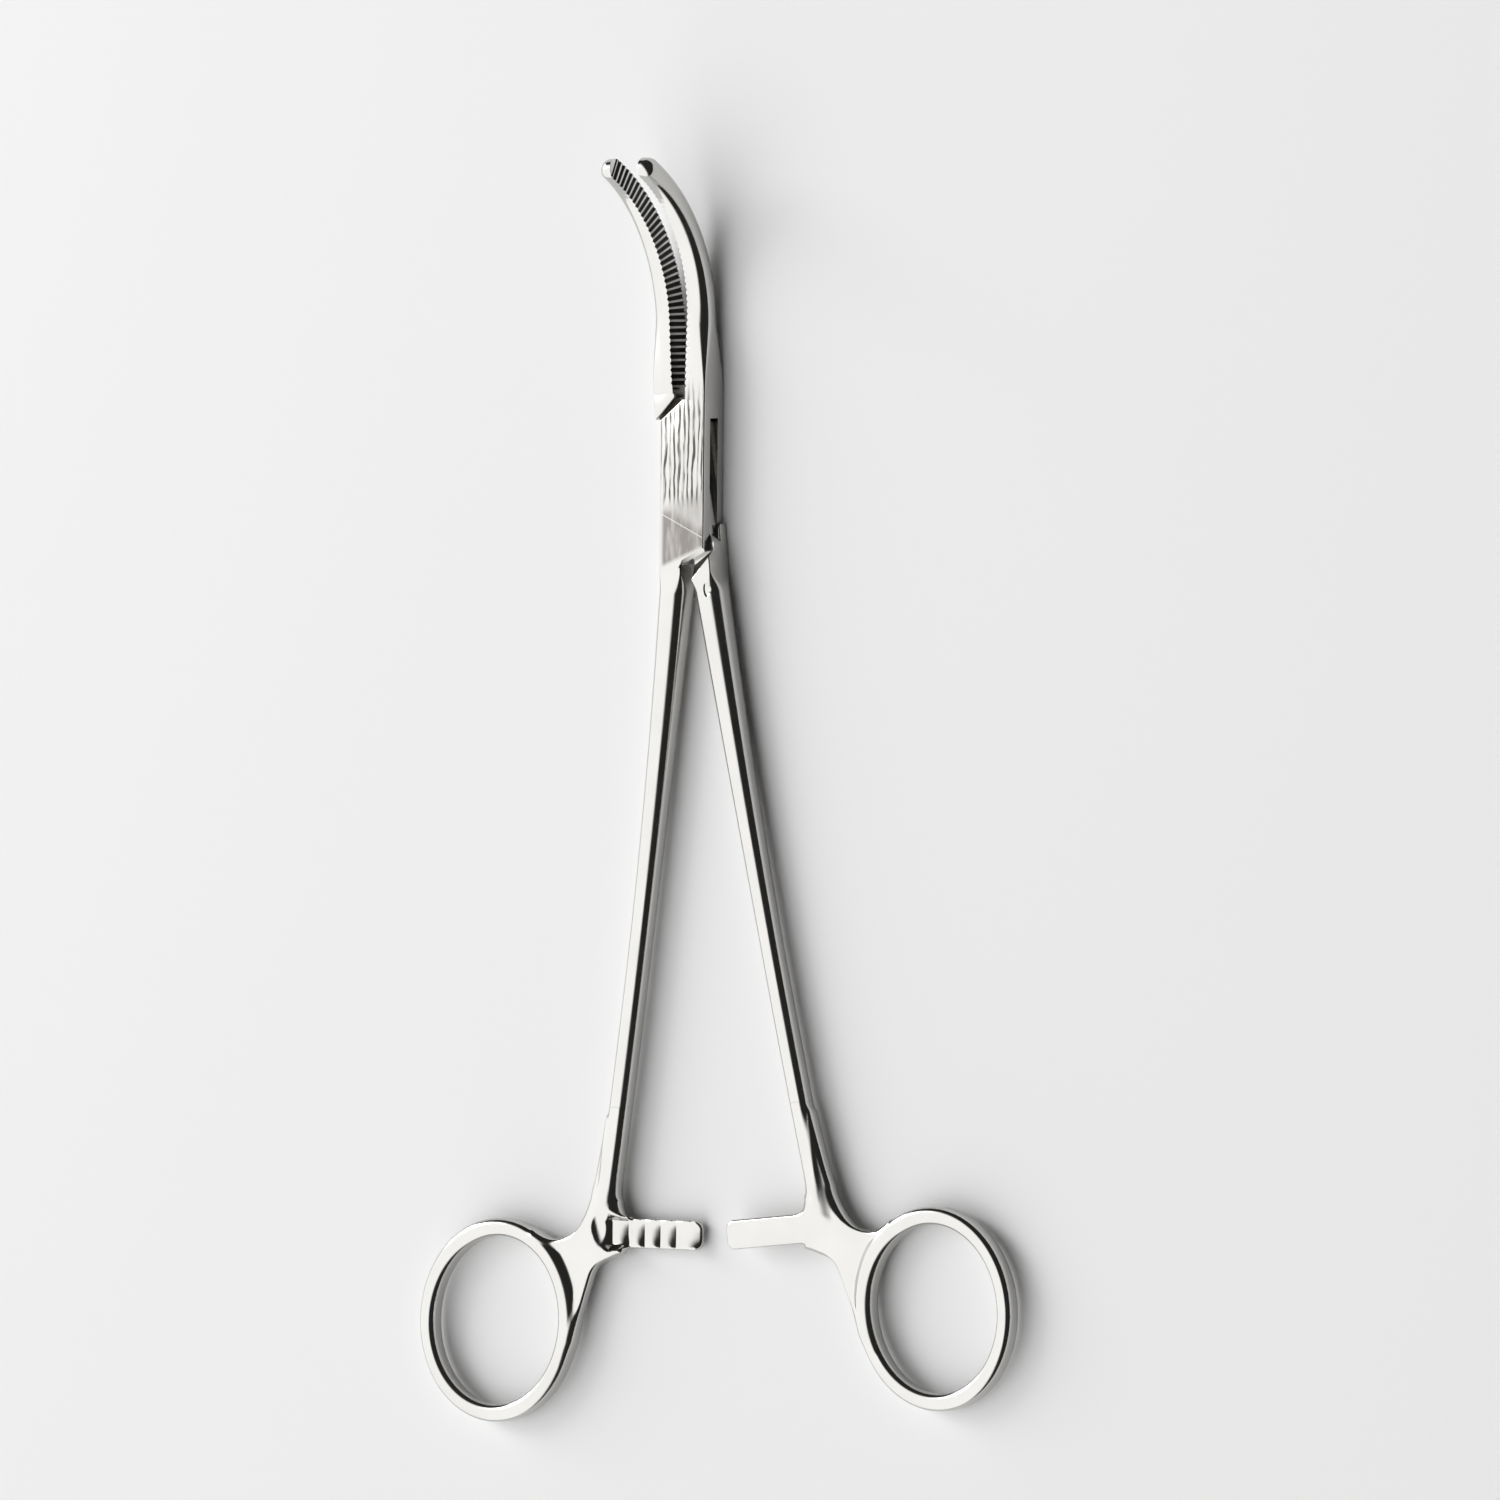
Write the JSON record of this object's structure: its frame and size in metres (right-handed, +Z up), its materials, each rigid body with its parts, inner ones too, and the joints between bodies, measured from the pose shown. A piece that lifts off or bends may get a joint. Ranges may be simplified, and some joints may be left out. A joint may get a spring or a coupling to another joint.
{
  "type": "gall duct forceps",
  "caption": "Long ring-handled clamp with a box lock, a toothed ratchet and slender, cross-serrated jaws that curve up, for holding a duct or vessel.",
  "frame": {"origin": "the pivot axis at the lock's underside", "axes": "+Y from the lock to the jaws, +Z up out of the lock, the way that the jaws curve, +X to the right"},
  "size_m": [0.1212, 0.2035, 0.0178],
  "materials": {
    "polished_steel": "polished stainless steel, with fine grinding lines on the lock plate",
    "pin_steel": "ground flush with the lock plate"
  },
  "bodies": {
    "female": {"female_half": "polished_steel", "pivot_pin": "pin_steel"},
    "male": {"male_half": "polished_steel"}
  },
  "joints": [
    {"name": "pivot", "type": "hinge", "parent": "female", "child": "male", "pos_m": [0, 0, 0], "axis": [0, 0, 1], "range_deg": [-6, 40]}
  ]
}
